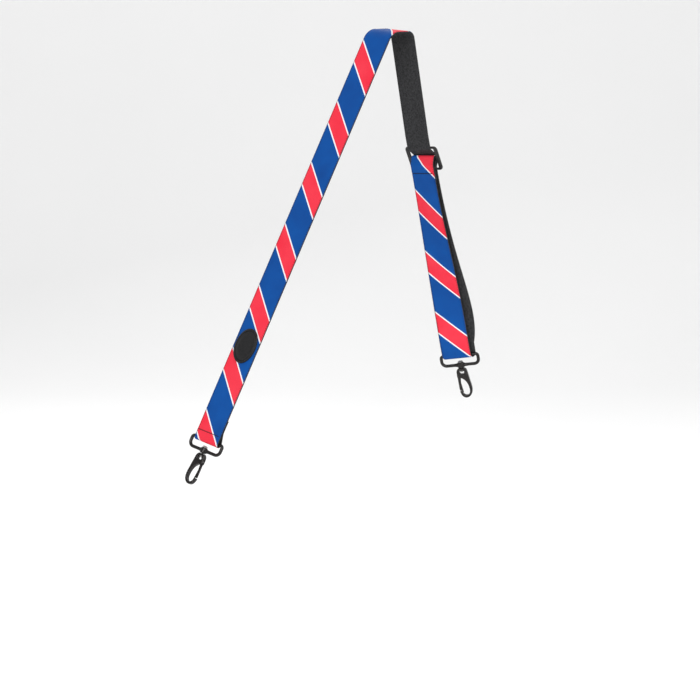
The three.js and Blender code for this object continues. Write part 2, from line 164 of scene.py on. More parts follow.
def add_camera():
    data = bpy.data.cameras.new("camera")
    data.lens = CAMERA_LENS
    data.clip_end = 50
    camera = bpy.data.objects.new("camera", data)
    bpy.context.scene.collection.objects.link(camera)
    level = math.cos(CAMERA_ELEVATION)
    back = Vector((
        math.sin(CAMERA_AZIMUTH) * level,
        -math.cos(CAMERA_AZIMUTH) * level,
        math.sin(CAMERA_ELEVATION),
    ))
    camera.rotation_mode = "QUATERNION"
    camera.location = CAMERA_TARGET + back * CAMERA_DISTANCE
    camera.rotation_quaternion = (-back).to_track_quat("-Z", "Y")
    bpy.context.scene.camera = camera


def add_light(name, place, target, size, power):
    data = bpy.data.lights.new(name, "AREA")
    data.shape = "RECTANGLE"
    data.size, data.size_y = size
    data.energy = power
    light = bpy.data.objects.new(name, data)
    bpy.context.scene.collection.objects.link(light)
    light.rotation_mode = "QUATERNION"
    light.location = place
    light.rotation_quaternion = (Vector(target) - Vector(place)).to_track_quat("-Z", "Y")


def add_studio():
    middle = (cad_box[0] + cad_box[1]) / 2
    add_light("key", (-1.9, -1.7, 1.0), middle, (1.2, 1.6), 34)
    add_light("front", (0.7, -2.3, 0.5), middle, (1.6, 1.6), 17)
    add_light("right", (1.8, -0.4, 0.4), middle, (0.8, 1.6), 13)
    add_light("back", (0.2, 1.8, 0.8), middle, (1.6, 1.2), 12)
    world = bpy.data.worlds.new("studio")
    world.use_nodes = True
    world.node_tree.nodes["Background"].inputs["Color"].default_value = (1, 1, 1, 1)
    world.node_tree.nodes["Background"].inputs["Strength"].default_value = 0.72
    bpy.context.scene.world = world
    bpy.context.scene.view_settings.view_transform = "Standard"


# Materials -------------------------------------------------------------------------------------------


class Nodes:
    """A material being wired: every maker returns the socket of its result."""

    def __init__(self, name, roughness, metallic=0.0, specular=0.5):
        self.material = bpy.data.materials.new(name)
        self.material.use_nodes = True
        self.tree = self.material.node_tree
        self.shader = self.tree.nodes["Principled BSDF"]
        self.into("Roughness", roughness)
        self.into("Metallic", metallic)
        self.into("Specular IOR Level", specular)

    def feed(self, target, value):
        if isinstance(value, bpy.types.NodeSocket):
            self.tree.links.new(value, target)
        else:
            target.default_value = value

    def into(self, socket, value):
        self.feed(self.shader.inputs[socket], value)

    def math(self, operation, *values):
        node = self.tree.nodes.new("ShaderNodeMath")
        node.operation = operation
        for i, value in enumerate(values):
            self.feed(node.inputs[i], value)
        return node.outputs[0]

    def mix(self, factor, a, b):
        node = self.tree.nodes.new("ShaderNodeMix")
        node.data_type = "RGBA"
        self.feed(node.inputs["Factor"], factor)
        self.feed(node.inputs[6], a)
        self.feed(node.inputs[7], b)
        return node.outputs[2]

    def ramp(self, value, low, high, to_low=0.0, to_high=1.0):
        node = self.tree.nodes.new("ShaderNodeMapRange")
        for socket, v in zip(node.inputs, (value, low, high, to_low, to_high)):
            self.feed(socket, v)
        return node.outputs[0]

    def strap_place(self):
        """Distance along and across the strap, in millimetres."""
        uv = self.tree.nodes.new("ShaderNodeUVMap")
        uv.uv_map = "strap"
        split = self.tree.nodes.new("ShaderNodeSeparateXYZ")
        self.tree.links.new(uv.outputs[0], split.inputs[0])
        return [self.math("DIVIDE", split.outputs[i], MM) for i in range(2)]

    def noise(self, size, detail=2.0, stretch=(1, 1, 1)):
        """Noise whose spots are about size millimetres, fixed to the rest shape."""
        place = self.tree.nodes.new("ShaderNodeTexCoord")
        mapping = self.tree.nodes.new("ShaderNodeMapping")
        mapping.inputs["Scale"].default_value = [k / (size * MM) for k in stretch]
        self.tree.links.new(place.outputs["Object"], mapping.inputs[0])
        node = self.tree.nodes.new("ShaderNodeTexNoise")
        node.inputs["Scale"].default_value = 1.0
        node.inputs["Detail"].default_value = detail
        self.tree.links.new(mapping.outputs[0], node.inputs["Vector"])
        return node.outputs["Fac"]

    def bump(self, height, depth, strength=1.0):
        node = self.tree.nodes.new("ShaderNodeBump")
        node.inputs["Distance"].default_value = depth * MM
        node.inputs["Strength"].default_value = strength
        self.tree.links.new(height, node.inputs["Height"])
        self.tree.links.new(node.outputs[0], self.shader.inputs["Normal"])


def wave(nodes, value, pitch):
    """0 to 1 and back over each pitch."""
    turn = nodes.math("MULTIPLY", value, 2 * math.pi / pitch)
    return nodes.math("MULTIPLY_ADD", nodes.math("SINE", turn), 0.5, 0.5)


def webbing_material():
    n = Nodes("webbing", roughness=0.8, specular=0.2)
    along, across = n.strap_place()
    # Herringbone of fine ribs that change their slant every few millimetres
    zigzag = n.math("PINGPONG", across, 4.75)
    ribs = wave(n, n.math("MULTIPLY_ADD", zigzag, 0.9, along), 1.5)
    cords = wave(n, across, 0.95)
    weave = n.math("MULTIPLY_ADD", cords, 0.4, n.math("MULTIPLY", ribs, 0.6))
    grain = n.noise(2.2, 3.0)
    shade = n.math("MULTIPLY_ADD", grain, 0.9, n.math("MULTIPLY", weave, 0.55))
    n.into("Base Color", n.mix(n.ramp(shade, 0.45, 1.0), (0.005, 0.005, 0.006, 1), (0.052, 0.052, 0.055, 1)))
    n.bump(weave, 0.28, 0.8)
    return n.material


def ribbon_material():
    n = Nodes("printed_ribbon", roughness=0.6, specular=0.15)
    along, across = n.strap_place()
    bleed = n.math("MULTIPLY", n.math("SUBTRACT", n.noise(0.7, 2.0), 0.5), 0.5)
    diagonal = n.math("ADD", n.math("ADD", along, across), bleed)
    # PINGPONG folds the print so that it measures the distance from the nearest red band's middle
    distance = n.math("PINGPONG", diagonal, PRINT_PERIOD / 2)
    past_red = n.ramp(distance, RED_HALF - 0.15, RED_HALF + 0.15)
    past_line = n.ramp(distance, RED_HALF + LINE_WIDTH - 0.15, RED_HALF + LINE_WIDTH + 0.15)
    # Painted light and shade: the red and the blue each run from a shaded copy to a lit copy of the print's
    # colour, mixed in random 28 mm patches by this noise.
    tone = n.noise(28, 2.0)
    red = n.mix(tone, (0.82, 0.014, 0.040, 1), (0.90, 0.055, 0.085, 1))
    blue = n.mix(tone, (0.0, 0.048, 0.24, 1), (0.0, 0.088, 0.38, 1))
    printed = n.mix(past_line, n.mix(past_red, red, (0.90, 0.90, 0.92, 1)), blue)
    # Satin weave: fine twill lines at 63 degrees, with a rib across every millimetre
    twill = wave(n, n.math("MULTIPLY_ADD", across, 0.5, along), 0.62)
    rib = wave(n, along, 1.1)
    weave = n.math("MULTIPLY_ADD", twill, 0.55, n.math("MULTIPLY", rib, 0.45))
    speck = n.noise(0.9, 2.0)
    depth = n.ramp(n.math("MULTIPLY_ADD", weave, 0.4, n.math("MULTIPLY", speck, 0.6)), 0.2, 0.8, 0.80, 1.0)
    n.into("Base Color", n.mix(depth, (0.0, 0.008, 0.03, 1), printed))
    n.bump(weave, 0.12, 0.6)
    return n.material


def cast_metal_material():
    n = Nodes("black_nickel", roughness=0.24, metallic=1.0)
    tone = n.noise(5, 3.0)
    n.into("Base Color", n.mix(tone, (0.020, 0.019, 0.019, 1), (0.052, 0.049, 0.048, 1)))
    n.into("Roughness", n.ramp(n.noise(1.6, 4.0), 0.3, 0.7, 0.14, 0.32))
    n.bump(n.noise(0.8, 3.0), 0.05, 0.4)
    return n.material


def steel_material():
    n = Nodes("turned_steel", roughness=0.3, metallic=1.0)
    lines = n.noise(0.5, 2.0, (1, 1, 6))
    n.into("Base Color", n.mix(lines, (0.16, 0.15, 0.145, 1), (0.34, 0.33, 0.32, 1)))
    n.into("Roughness", n.ramp(lines, 0.3, 0.7, 0.24, 0.4))
    return n.material


def plastic_material():
    n = Nodes("moulded_plastic", roughness=0.4, specular=0.3)
    n.into("Base Color", n.mix(n.noise(4, 3.0), (0.010, 0.010, 0.010, 1), (0.022, 0.021, 0.021, 1)))
    n.into("Roughness", n.ramp(n.noise(0.6, 2.0), 0.3, 0.7, 0.32, 0.5))
    n.bump(n.noise(0.35, 2.0), 0.05, 0.5)
    return n.material


def rubber_material():
    n = Nodes("moulded_rubber", roughness=0.5, specular=0.3)
    n.into("Base Color", n.mix(n.noise(3, 3.0), (0.004, 0.004, 0.005, 1), (0.012, 0.012, 0.013, 1)))
    n.into("Roughness", n.ramp(n.noise(0.9, 3.0), 0.3, 0.7, 0.42, 0.62))
    n.bump(n.noise(0.5, 2.0), 0.07, 0.6)
    return n.material


def thread_material():
    n = Nodes("thread", roughness=0.7, specular=0.2)
    lay = n.noise(0.35, 2.0)
    n.into("Base Color", n.mix(lay, (0.003, 0.003, 0.004, 1), (0.015, 0.015, 0.018, 1)))
    n.bump(lay, 0.05, 0.6)
    return n.material


def studio_material():
    n = Nodes("studio_white", roughness=0.9)
    n.into("Base Color", n.mix(n.noise(400, 2.0), (0.90, 0.90, 0.90, 1), (0.93, 0.93, 0.93, 1)))
    return n.material


# Meshes ----------------------------------------------------------------------------------------------


def put(name, vertices, faces, material, uv=None, sharp=35):
    """A new object from vertices in millimetres; uv gives each vertex's place on the strap."""
    mesh = bpy.data.meshes.new(name)
    mesh.from_pydata([Vector(v) * MM for v in vertices], [], faces)
    if uv:
        layer = mesh.uv_layers.new(name="strap")
        for loop in mesh.loops:
            u, v = uv[loop.vertex_index]
            layer.data[loop.index].uv = (u * MM, v * MM)
    mesh.polygons.foreach_set("use_smooth", [True] * len(mesh.polygons))
    mesh.set_sharp_from_angle(angle=rad(sharp))
    mesh.materials.append(material)
    mesh.validate()
    piece = bpy.data.objects.new(name, mesh)
    bpy.context.scene.collection.objects.link(piece)
    return piece


def swept(rings, closed=False):
    """Faces between rings of equal length, with a cap at each end unless the rings close."""
    sides = len(rings[0])
    count = len(rings)
    faces = []
    for i in range(count if closed else count - 1):
        a = i * sides
        b = (i + 1) % count * sides
        for k in range(sides):
            j = (k + 1) % sides
            faces.append((a + k, a + j, b + j, b + k))
    if not closed:
        faces.append(tuple(reversed(range(sides))))
        faces.append(tuple(range((count - 1) * sides, count * sides)))
    return [v for ring in rings for v in ring], faces


def applied(piece):
    """Bakes a piece's modifiers into its mesh."""
    graph = bpy.context.evaluated_depsgraph_get()
    mesh = bpy.data.meshes.new_from_object(piece.evaluated_get(graph))
    piece.modifiers.clear()
    piece.data = mesh
    return piece


def cast(piece, voxel, smoothing):
    """Fuses a piece's overlapping solids and rounds its edges, as a casting's are."""
    remesh = piece.modifiers.new("fuse", "REMESH")
    remesh.mode = "VOXEL"
    remesh.voxel_size = voxel * MM
    soften = piece.modifiers.new("soften", "SMOOTH")
    soften.iterations = smoothing
    soften.factor = 0.5
    applied(piece)
    piece.data.polygons.foreach_set("use_smooth", [True] * len(piece.data.polygons))
    return piece


def cut(piece, cutter):
    """Cuts a solid out of a piece and takes the cutter away."""
    boolean = piece.modifiers.new("cut", "BOOLEAN")
    boolean.operation = "DIFFERENCE"
    boolean.object = cutter
    boolean.solver = "EXACT"
    bpy.context.view_layer.update()
    applied(piece)
    piece.data.polygons.foreach_set("use_smooth", [True] * len(piece.data.polygons))
    piece.data.set_sharp_from_angle(angle=rad(40))
    bpy.data.objects.remove(cutter)
    return piece


def plate(name, outlines, thickness, edge, material, matrix):
    """A plate of closed outlines (the first is outside) with rounded edges, centred on its own plane."""
    curve = bpy.data.curves.new(name, "CURVE")
    curve.dimensions = "2D"
    curve.fill_mode = "BOTH"
    curve.extrude = (thickness / 2 - edge) * MM
    curve.bevel_depth = edge * MM
    curve.bevel_resolution = 3
    curve.offset = -edge * MM
    for outline in outlines:
        spline = curve.splines.new("POLY")
        spline.points.add(len(outline) - 1)
        for point, (x, y) in zip(spline.points, outline):
            point.co = (x * MM, y * MM, 0, 1)
        spline.use_cyclic_u = True
    source = bpy.data.objects.new(name + "_outline", curve)
    bpy.context.scene.collection.objects.link(source)
    bpy.context.view_layer.update()
    graph = bpy.context.evaluated_depsgraph_get()
    mesh = bpy.data.meshes.new_from_object(source.evaluated_get(graph))
    bpy.data.objects.remove(source)
    weld = bmesh.new()
    weld.from_mesh(mesh)
    bmesh.ops.remove_doubles(weld, verts=weld.verts, dist=0.005 * MM)
    bmesh.ops.recalc_face_normals(weld, faces=weld.faces)
    weld.to_mesh(mesh)
    weld.free()
    mesh.transform(matrix)
    mesh.polygons.foreach_set("use_smooth", [True] * len(mesh.polygons))
    mesh.set_sharp_from_angle(angle=rad(35))
    mesh.materials.clear()
    mesh.materials.append(material)
    piece = bpy.data.objects.new(name, mesh)
    bpy.context.scene.collection.objects.link(piece)
    return piece


def arc_points(centre, radius, start, end, count=8):
    return [
        (centre[0] + radius * math.cos(start + (end - start) * i / count),
         centre[1] + radius * math.sin(start + (end - start) * i / count))
        for i in range(count + 1)
    ]


def rounded_rectangle(left, right, low, high, low_radius, high_radius):
    quarter = math.pi / 2
    return (
        arc_points((right - low_radius, low + low_radius), low_radius, -quarter, 0)
        + arc_points((right - high_radius, high - high_radius), high_radius, 0, quarter)
        + arc_points((left + high_radius, high - high_radius), high_radius, quarter, 2 * quarter)
        + arc_points((left + low_radius, low + low_radius), low_radius, 2 * quarter, 3 * quarter)
    )


def lathe(profile, origin, axis, sides=32):
    """Rings of a profile of (distance along the axis, radius), in millimetres."""
    axis = axis.normalized()
    side = axis.orthogonal().normalized()
    other = axis.cross(side)
    rings = []
    for along, radius in profile:
        middle = origin + axis * along
        ring = []
        for k in range(sides):
            angle = 2 * math.pi * k / sides
            ring.append(middle + (side * math.cos(angle) + other * math.sin(angle)) * radius)
        rings.append(ring)
    return swept(rings)


def joined(parts):
    vertices, faces = [], []
    for v, f in parts:
        start = len(vertices)
        vertices += v
        faces += [tuple(i + start for i in face) for face in f]
    return vertices, faces


# The strap's route -----------------------------------------------------------------------------------
# A station is a point on the webbing's middle, the way along the strap and the way across it.


def rounded_line(corners, step=rad(7)):
    points = [Vector(c[:2]) for c in corners]
    out = []
    heading = [(b - a).normalized() for a, b in zip(points, points[1:])]
    out.append((points[0], heading[0]))
    for i in range(1, len(points) - 1):
        into, away = heading[i - 1], heading[i]
        turn = math.atan2(into.x * away.y - into.y * away.x, into.dot(away))
        radius = corners[i][2]
        start = points[i] - into * radius * math.tan(abs(turn) / 2)
        side = radius * math.copysign(1, turn)
        centre = start + Vector((-into.y, into.x)) * side
        steps = max(2, math.ceil(abs(turn) / step))
        for k in range(steps + 1):
            angle = turn * k / steps
            way = Vector((
                into.x * math.cos(angle) - into.y * math.sin(angle),
                into.x * math.sin(angle) + into.y * math.cos(angle),
            ))
            out.append((centre - Vector((-way.y, way.x)) * side, way))
    out.append((points[-1], heading[-1]))
    return out


class LegFrame:
    """A point with three ways: along the leg (u), out of its face (v) and across it (w)."""

    def __init__(self, origin, along, across):
        self.origin = origin
        self.along = along
        self.across = across
        self.face = along.cross(across).normalized()

    def place(self, u, v, w=0.0):
        return self.origin + self.along * u + self.face * v + self.across * w

    def run(self, corners):
        return [
            (self.place(at.x, at.y), self.along * way.x + self.face * way.y, self.across)
            for at, way in rounded_line(corners)
        ]


left_way = Vector((math.sin(LEFT_LEAN), 0, math.cos(LEFT_LEAN)))
right_way = Vector((math.sin(RIGHT_LEAN), 0, -math.cos(RIGHT_LEAN)))
lower_way = Vector((math.sin(LOWER_LEAN), 0, -math.cos(LOWER_LEAN)))
axis_rise = (math.sin(LEFT_LEAN) - math.sin(RIGHT_LEAN)) / (math.cos(LEFT_LEAN) + math.cos(RIGHT_LEAN))
shoulder_axis = Vector((
    math.sin(SHOULDER_YAW),
    -math.cos(SHOULDER_YAW),
    -math.sin(SHOULDER_YAW) * axis_rise,
)).normalized()


def square_to(vector, way):
    return (vector - way * vector.dot(way)).normalized()


def turned(vector, angle, axis=-shoulder_axis):
    return Quaternion(axis, angle) @ vector


left_across = square_to(shoulder_axis, left_way)
square_way = left_way + shoulder_axis * -left_way.dot(shoulder_axis)
square_right = right_way + shoulder_axis * -right_way.dot(shoulder_axis)
whole_turn = square_way.angle(square_right)
level_turn = math.atan2(left_way.z, -turned(square_way, math.pi / 2).z)


def shoulder_bend():
    stations = []
    at = Vector()

    def arc(start, end, radius, twist):
        nonlocal at
        steps = math.ceil((end - start) / rad(5))
        step = (end - start) / steps
        reach = 2 * radius * math.sin(step / 2) / square_way.length
        for k in range(steps + 1):
            angle = start + step * k
            if k > 0:
                at = at + turned(left_way, angle - step / 2) * reach
            along = turned(left_way, angle)
            across = turned(turned(left_across, angle), twist * k / steps, along)
            stations.append((at.copy(), along, across))

    arc(0, level_turn, LEFT_BEND, 0)
    level_way = turned(left_way, level_turn)
    middle = at + level_way * TOP_FLAT / 2
    at = at + level_way * TOP_FLAT
    arc(level_turn, whole_turn, RIGHT_BEND, RIGHT_TURN)
    shift = Vector((0, 0, HALF_WEB)) - middle
    return [(p + shift, a, c) for p, a, c in stations]


bend = shoulder_bend()
left_top = bend[0][0]
right_top = bend[-1][0]
left_bar = left_top - left_way * LEFT_LEG + left_way.cross(left_across) * FOLD
left_frame = LegFrame(left_bar, left_way, left_across)
tail_depth = FOLD - WEB_THICK - GAP
left_run = left_frame.run([
    (FOLD_TAIL, -tail_depth),
    (14, -tail_depth, 10),
    (2, FOLD, 6),
    (-FOLD, FOLD, FOLD),
    (-FOLD, -FOLD, FOLD),
    (LEFT_LEG, -FOLD),
])

right_across = turned(square_to(shoulder_axis, right_way), RIGHT_TURN, right_way)
upper_frame = LegFrame(right_top, right_way, right_across)
stub_end = upper_frame.place(STUB, 0)



def web_past(radius):
    """The bend of webbing whose bare side passes a round bar."""
    return radius + GAP + HALF_WEB


def ribbon_past(radius):
    """The bend of webbing whose ribbon passes a round bar."""
    return radius + GAP + RIBBON_OUTER


end_fold = web_past(MIDDLE_BAR_RADIUS)
round_outer = ribbon_past(OUTER_BAR_RADIUS)
round_middle = web_past(end_fold + RIBBON_OUTER)
bar_drop = BAR_PITCH * math.sin(SLIDER_TILT)
upper_ply = round_outer + bar_drop
lower_ply = round_outer - bar_drop
slider_place = upper_frame.place(UPPER_LEG, -upper_ply)
lower_across = square_to(right_across, lower_way)
right_frame = LegFrame(slider_place, lower_way, lower_across)

dive = SLIDER_TILT + math.asin((round_outer + round_middle) / BAR_PITCH)
dive_point = Vector((math.sin(dive), math.cos(dive))) * -round_middle


def dive_at(v):
    return dive_point.x - (v - dive_point.y) / math.tan(dive)


slider_pass = right_frame.run([
    (-SLIDER_HALF, upper_ply),
    (dive_at(upper_ply), upper_ply, round_outer),
    (dive_at(-round_middle), -round_middle, round_middle),
    (2.5, -round_middle, 5),
    (10.5, lower_ply, 6),
    (SLIDER_HALF, lower_ply),
])
front_ply = upper_ply
leave_slope = math.atan2(front_ply, LEAVE) - math.asin(end_fold / math.hypot(front_ply, LEAVE))
fold_corner = front_ply - (LEAVE + end_fold) * math.tan(leave_slope)
end_tail = front_ply - WEB_THICK - GAP
sewn_end = right_frame.run([
    (SLIDER_HALF, front_ply),
    (LEAVE, front_ply, 8),
    (-end_fold, fold_corner, end_fold),
    (-end_fold, -end_fold, end_fold),
    (1.2, -end_fold, 3),
    (13, end_tail, 8),
    (SLIDER_HALF - 3, end_tail),
])

plies_from = SLIDER_HALF + GAP
plies_to = LOWER_LEG - FOLD_REACH - GAP


def ease(q):
    q = min(max(q, 0), 1)
    return q * q * (3 - 2 * q)


def mixed(a, b, q):
    return a + (b - a) * q


def twisted_frame(q):
    across = turned(lower_across, -LOWER_TWIST * ease(q), lower_way)
    return LegFrame(slider_place, lower_way, across)


def ply(depth_from, depth_to, bow, skew, count=60):
    def placed(q):
        sideways = skew * q + bow * 12.2 * q ** 4 * (1 - q)
        depth = mixed(depth_from, depth_to, ease(q))
        return twisted_frame(q).place(mixed(plies_from, plies_to, q), depth, sideways)

    stations = []
    for i in range(count + 1):
        q = i / count
        along = (placed(q + 0.005) - placed(q - 0.005)).normalized()
        stations.append((placed(q), along, twisted_frame(q).across))
    return stations


def reversed_run(stations):
    return [(p, -a, c) for p, a, c in reversed(stations)]


hook_frame = LegFrame(twisted_frame(1).place(LOWER_LEG, 0), lower_way, twisted_frame(1).across)
hook_fold = hook_frame.run([
    (-FOLD_REACH, -FOLD),
    (FOLD, -FOLD, FOLD),
    (FOLD, FOLD, FOLD),
    (-FOLD_REACH, FOLD),
])
hook_fold = [
    (p + hook_frame.across * mixed(RETURN_SKEW, -RETURN_SKEW, i / (len(hook_fold) - 1)), a, c)
    for i, (p, a, c) in enumerate(hook_fold)
]
front_stations = reversed_run(ply(front_ply, FOLD, 0, -RETURN_SKEW))

LEG_STEP = 4.0


def filled(stations):
    """Adds stations so that none are more than LEG_STEP apart."""
    out = [stations[0]]
    for a, b in zip(stations, stations[1:]):
        parts = max(1, math.ceil((b[0] - a[0]).length / LEG_STEP))
        for k in range(1, parts + 1):
            q = k / parts
            out.append((a[0].lerp(b[0], q), a[1].lerp(b[1], q).normalized(), a[2].lerp(b[2], q).normalized()))
    return out


def distances(stations):
    out = [0.0]
    for a, b in zip(stations, stations[1:]):
        out.append(out[-1] + (b[0] - a[0]).length)
    return out


main_run = filled(left_run[:-1] + bend + [(stub_end, right_way, right_across)])
main_along = distances(main_run)
bend_index = min(range(len(main_run)), key=lambda i: (main_run[i][0] - left_top).length)
main_start = LEFT_LEG - main_along[bend_index] - MAIN_PRINT_START
upper_run = filled([
    (stub_end, right_way, right_across),
    (slider_pass[0][0], right_way, right_across),
])
upper_start = main_start + main_along[-1]
lower_run = filled(
    slider_pass + ply(lower_ply, -FOLD, RETURN_BOW, RETURN_SKEW) + hook_fold + front_stations + sewn_end
)
lower_along = distances(lower_run)
front_top = front_stations[-1][0]
top_index = min(range(len(lower_run)), key=lambda i: (lower_run[i][0] - front_top).length)
lower_start = -lower_along[top_index] * LOWER_PRINT_STRETCH + LOWER_PRINT_START


# Strap pieces ----------------------------------------------------------------------------------------

EDGE_SIDES = 4


def strap_section(width, low, high, columns=10):
    """A closed section with rounded edges: points of (across, depth)."""
    radius = (high - low) / 2
    middle = (high + low) / 2
    flat = width / 2 - radius
    points = [(mixed(-flat, flat, k / columns), low) for k in range(columns + 1)]
    for k in range(1, EDGE_SIDES):
        angle = -math.pi / 2 + math.pi * k / EDGE_SIDES
        points.append((flat + radius * math.cos(angle), middle + radius * math.sin(angle)))
    points += [(mixed(flat, -flat, k / columns), high) for k in range(columns + 1)]
    for k in range(1, EDGE_SIDES):
        angle = math.pi / 2 + math.pi * k / EDGE_SIDES
        points.append((-flat + radius * math.cos(angle), middle + radius * math.sin(angle)))
    return points


def strap_piece(name, run, start, section, material, stretch=1.0):
    along = [s * stretch for s in distances(run)]
    rings, uv = [], []
    for (point, way, across), s in zip(run, along):
        out = way.cross(across).normalized()
        rings.append([point + across * c + out * h for c, h in section])
        uv += [(s + start, c) for c, _ in section]
    vertices, faces = swept(rings)
    return put(name, vertices, faces, material, uv, sharp=60)


WEBBING_SECTION = strap_section(STRAP_WIDTH, -HALF_WEB, HALF_WEB)
RIBBON_SECTION = strap_section(RIBBON_WIDTH, -RIBBON_SEAT - RIBBON_THICK, -RIBBON_SEAT)


def stitches(name, run, offsets, depth, pitch, length, thick, material):
    """Rows of single stitches that follow a run, each a small spindle pulled into the cloth."""
    along = distances(run)
    parts = []
    for c in offsets:
        s = pitch / 2
        i = 0
        while s < along[-1] - pitch / 2:
            while along[i + 1] < s:
                i += 1
            q = (s - along[i]) / max(along[i + 1] - along[i], 1e-6)
            point, way, across = (a.lerp(b, q) for a, b in zip(run[i], run[i + 1]))
            out = way.cross(across).normalized()
            parts.append(spindle(point + across * c + out * depth, way.normalized(), out, length, thick))
            s += pitch
    vertices, faces = joined(parts)
    return put(name, vertices, faces, material, sharp=80)


SPINDLE_RINGS = ((-1, 0.35), (-0.7, 0.85), (0, 1), (0.7, 0.85), (1, 0.35))
SPINDLE_SIDES = 6


def spindle(middle, way, out, length, thick):
    side = way.cross(out).normalized()
    rings = []
    for t, size in SPINDLE_RINGS:
        ring = []
        for k in range(SPINDLE_SIDES):
            angle = 2 * math.pi * k / SPINDLE_SIDES
            radial = side * math.cos(angle) + out * math.sin(angle)
            ring.append(middle + way * t * length / 2 + radial * size * thick / 2)
        rings.append(ring)
    return swept(rings)


def stitch_row(name, leg, u, v, material):
    """One row of stitches across the strap, through every ply."""
    start = leg.place(u, v, -STITCH_LENGTH / 2)
    end = leg.place(u, v, STITCH_LENGTH / 2)
    along = -leg.face if v < 0 else leg.face
    run = [(start, leg.across, along), (end, leg.across, along)]
    return stitches(name, run, [0.0], 0.0, ROW_PITCH, ROW_STITCH, ROW_THREAD, material)


def add_strap():
    webbing, ribbon, thread = webbing_material(), ribbon_material(), thread_material()
    for layer, section, material in (
        ("webbing", WEBBING_SECTION, webbing),
        ("ribbon", RIBBON_SECTION, ribbon),
    ):
        main = strap_piece(layer + "_main", main_run, main_start, section, material)
        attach(main, "strap")
        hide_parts(layer + "_left_leg")
        upper = strap_piece(layer + "_upper", upper_run, upper_start, section, material)
        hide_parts(layer + "_upper_leg")
        lower = strap_piece(layer + "_lower", lower_run, lower_start, section, material, LOWER_PRINT_STRETCH)
        parts = ("slider_pass", "back_ply", "hook_fold", "front_ply", "sewn_end")
        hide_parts(*(layer + "_" + part for part in parts))
        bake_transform(upper)
        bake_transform(lower)
    edge = RIBBON_WIDTH / 2 - SEAM_INSET
    top = -RIBBON_SEAT - RIBBON_THICK - 0.02
    seams = (
        ("seam_main", main_run),
        ("seam_upper", upper_run),
        ("seam_lower", lower_run),
    )
    for name, run in seams:
        seam = stitches(
            name, run, [-edge, edge], top, SEAM_PITCH, SEAM_STITCH, SEAM_THREAD, thread,
        )
        if name == "seam_main":
            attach(seam, "strap")
        elif name == "seam_upper":
            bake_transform(seam)
        else:
            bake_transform(seam)
    surface = RIBBON_SEAT + RIBBON_THICK + 0.1
    left_row = stitch_row("left_fold_stitches", left_frame, STITCH_UP, -FOLD - surface, thread)
    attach(left_row, "strap")
    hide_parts("left_stitch_row")
    end_row = stitch_row("end_fold_stitches", right_frame, END_STITCH_DOWN, front_ply + surface, thread)
    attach(end_row, "slider")
    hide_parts("slider_stitch_row")
    tail_up = STITCH_UP + TAIL_STITCH_STEP
    back_row = stitch_row("left_tail_stitches", left_frame, tail_up, -tail_depth + surface, thread)
    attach(back_row, "strap")


# The patch -------------------------------------------------------------------------------------------


def add_patch():
    """An oval rubber patch: a rolled rim, a sewn groove and a dished middle with a fine ridged field."""
    seat = left_frame.place(PATCH_UP, -FOLD - RIBBON_SEAT - RIBBON_THICK)
    out = -left_frame.face
    profile = [(1.0, 0.0), (1.0, 0.5), (0.985, 0.85), (0.955, 1.0), (0.925, 0.95), (0.90, 0.72),
               (0.885, 0.50), (0.865, 0.46), (0.845, 0.52), (0.83, 0.68), (0.81, 0.72), (0.78, 0.70),
               (0.76, 0.60), (0.5, 0.58), (0.25, 0.60), (0.06, 0.62)]
    sides = 96
    rings = []
    for reach, height in profile:
        ring = []
        for k in range(sides):
            angle = 2 * math.pi * k / sides
            ring.append(
                seat
                + left_frame.along * math.cos(angle) * reach * PATCH_HALF_LENGTH
                + left_frame.across * math.sin(angle) * reach * PATCH_HALF_WIDTH
                + out * height * PATCH_THICK
            )
        rings.append(ring)
    parts = [swept(rings)]
    for row in range(-4, 5):
        v = row * 2.3
        half = PATCH_HALF_LENGTH * 0.68 * math.sqrt(max(0, 1 - (v / (PATCH_HALF_WIDTH * 0.72)) ** 2))
        if half > 2:
            middle = seat + left_frame.across * v + out * PATCH_THICK * 0.58
            parts.append(spindle(middle, left_frame.along, out, 2 * half, 0.7))
    rubber = rubber_material()
    vertices, faces = joined(parts)
    patch = put("oval_patch_moulding", vertices, faces, rubber, sharp=50)
    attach(patch, "strap")
    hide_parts("oval_patch")
    count = 44
    sewing = []
    for k in range(count):
        angle = 2 * math.pi * k / count
        along, across = math.cos(angle) * PATCH_HALF_LENGTH, math.sin(angle) * PATCH_HALF_WIDTH
        way = left_frame.across * math.cos(angle) * PATCH_HALF_WIDTH
        way = (way - left_frame.along * math.sin(angle) * PATCH_HALF_LENGTH).normalized()
        middle = seat + (left_frame.along * along + left_frame.across * across) * 0.865
        sewing.append(spindle(middle + out * PATCH_THICK * 0.5, way, out, 1.9, 0.4))
    vertices, faces = joined(sewing)
    ring = put("patch_stitches", vertices, faces, thread_material(), sharp=80)
    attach(ring, "strap")


# The slider ------------------------------------------------------------------------------------------


def basis(x, y, z, origin):
    """A matrix with its columns along x, y and z, and its origin in metres."""
    matrix = Matrix((x, y, z)).transposed().to_4x4()
    matrix.translation = origin * MM
    return matrix


def add_slider():
    half = BAR_PITCH + OUTER_BAR / 2
    outlines = [rounded_rectangle(-SLIDER_WIDTH / 2, SLIDER_WIDTH / 2, -half, half, 5, 5)]
    for side in (-1, 1):
        near, far = side * MIDDLE_BAR / 2, side * (BAR_PITCH - OUTER_BAR / 2)
        outlines.append(rounded_rectangle(
            -SLIDER_SLOT / 2, SLIDER_SLOT / 2, min(near, far), max(near, far), 1.2, 1.2,
        ))
    down = right_frame.along * math.cos(SLIDER_TILT) - right_frame.face * math.sin(SLIDER_TILT)
    across = right_frame.across
    matrix = basis(across, down, across.cross(down), slider_place)
    slider = plate("three_bar_slider", outlines, SLIDER_THICK, 0.95, plastic_material(), matrix)
    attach(slider, "slider")
    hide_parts("slider")


# Swivel snap hooks -----------------------------------------------------------------------------------


